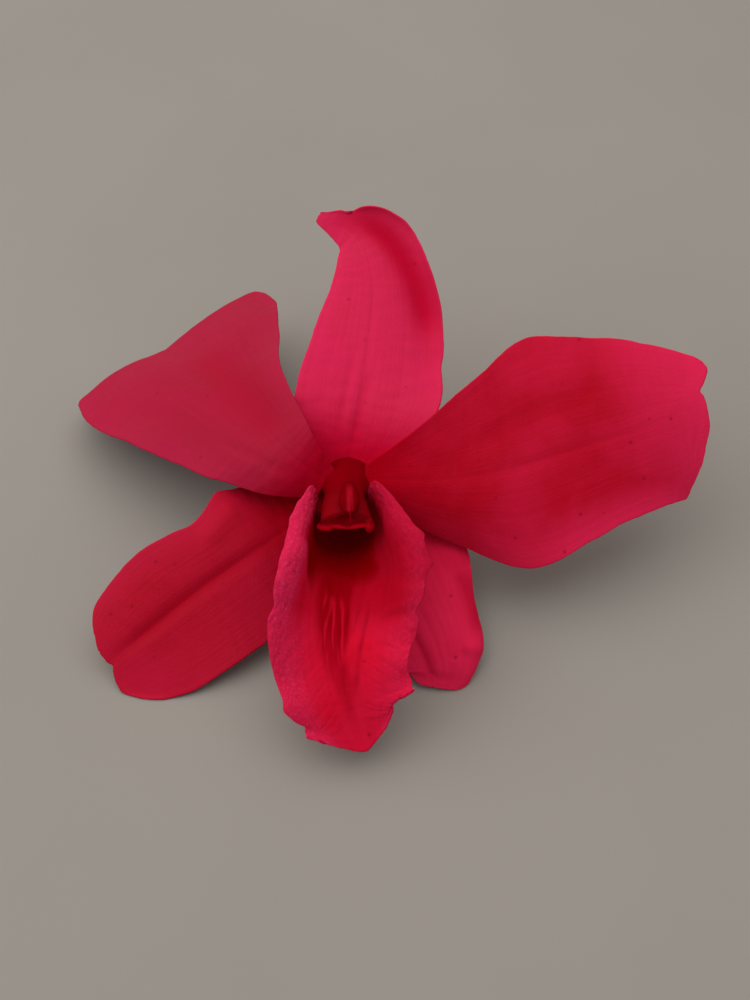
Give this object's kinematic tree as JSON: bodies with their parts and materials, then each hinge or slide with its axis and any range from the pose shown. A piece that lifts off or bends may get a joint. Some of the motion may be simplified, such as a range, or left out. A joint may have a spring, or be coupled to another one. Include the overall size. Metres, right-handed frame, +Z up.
{
  "type": "preserved orchid bloom",
  "caption": "Single dyed crimson dendrobium orchid bloom, preserved, lying on its back with lip, column and a short stub of flower stalk.",
  "frame": {"origin": "on the table, under the middle of the bloom's box", "axes": "+X to the bloom's right petal as seen from the front, -Y to the side that the lip points to, +Z up from the table"},
  "size_m": [0.0762, 0.0659, 0.0274],
  "materials": {
    "sepal": "soft matte petal, finely veined",
    "petal": "soft matte petal, finely veined, paler at the margins",
    "lip": "velvety, wrinkled, pinker at the margins",
    "column": "waxy, dark crimson",
    "anther_cap": "waxy, crimson",
    "stalk": "dull, dyed, with a dry cut end"
  },
  "bodies": {
    "root": {"dorsal_sepal": "sepal", "left_lateral_sepal": "sepal", "right_lateral_sepal": "sepal", "left_petal": "petal", "right_petal": "petal", "lip": "lip", "column": "column", "anther_cap": "anther_cap", "stalk": "stalk"}
  },
  "joints": []
}
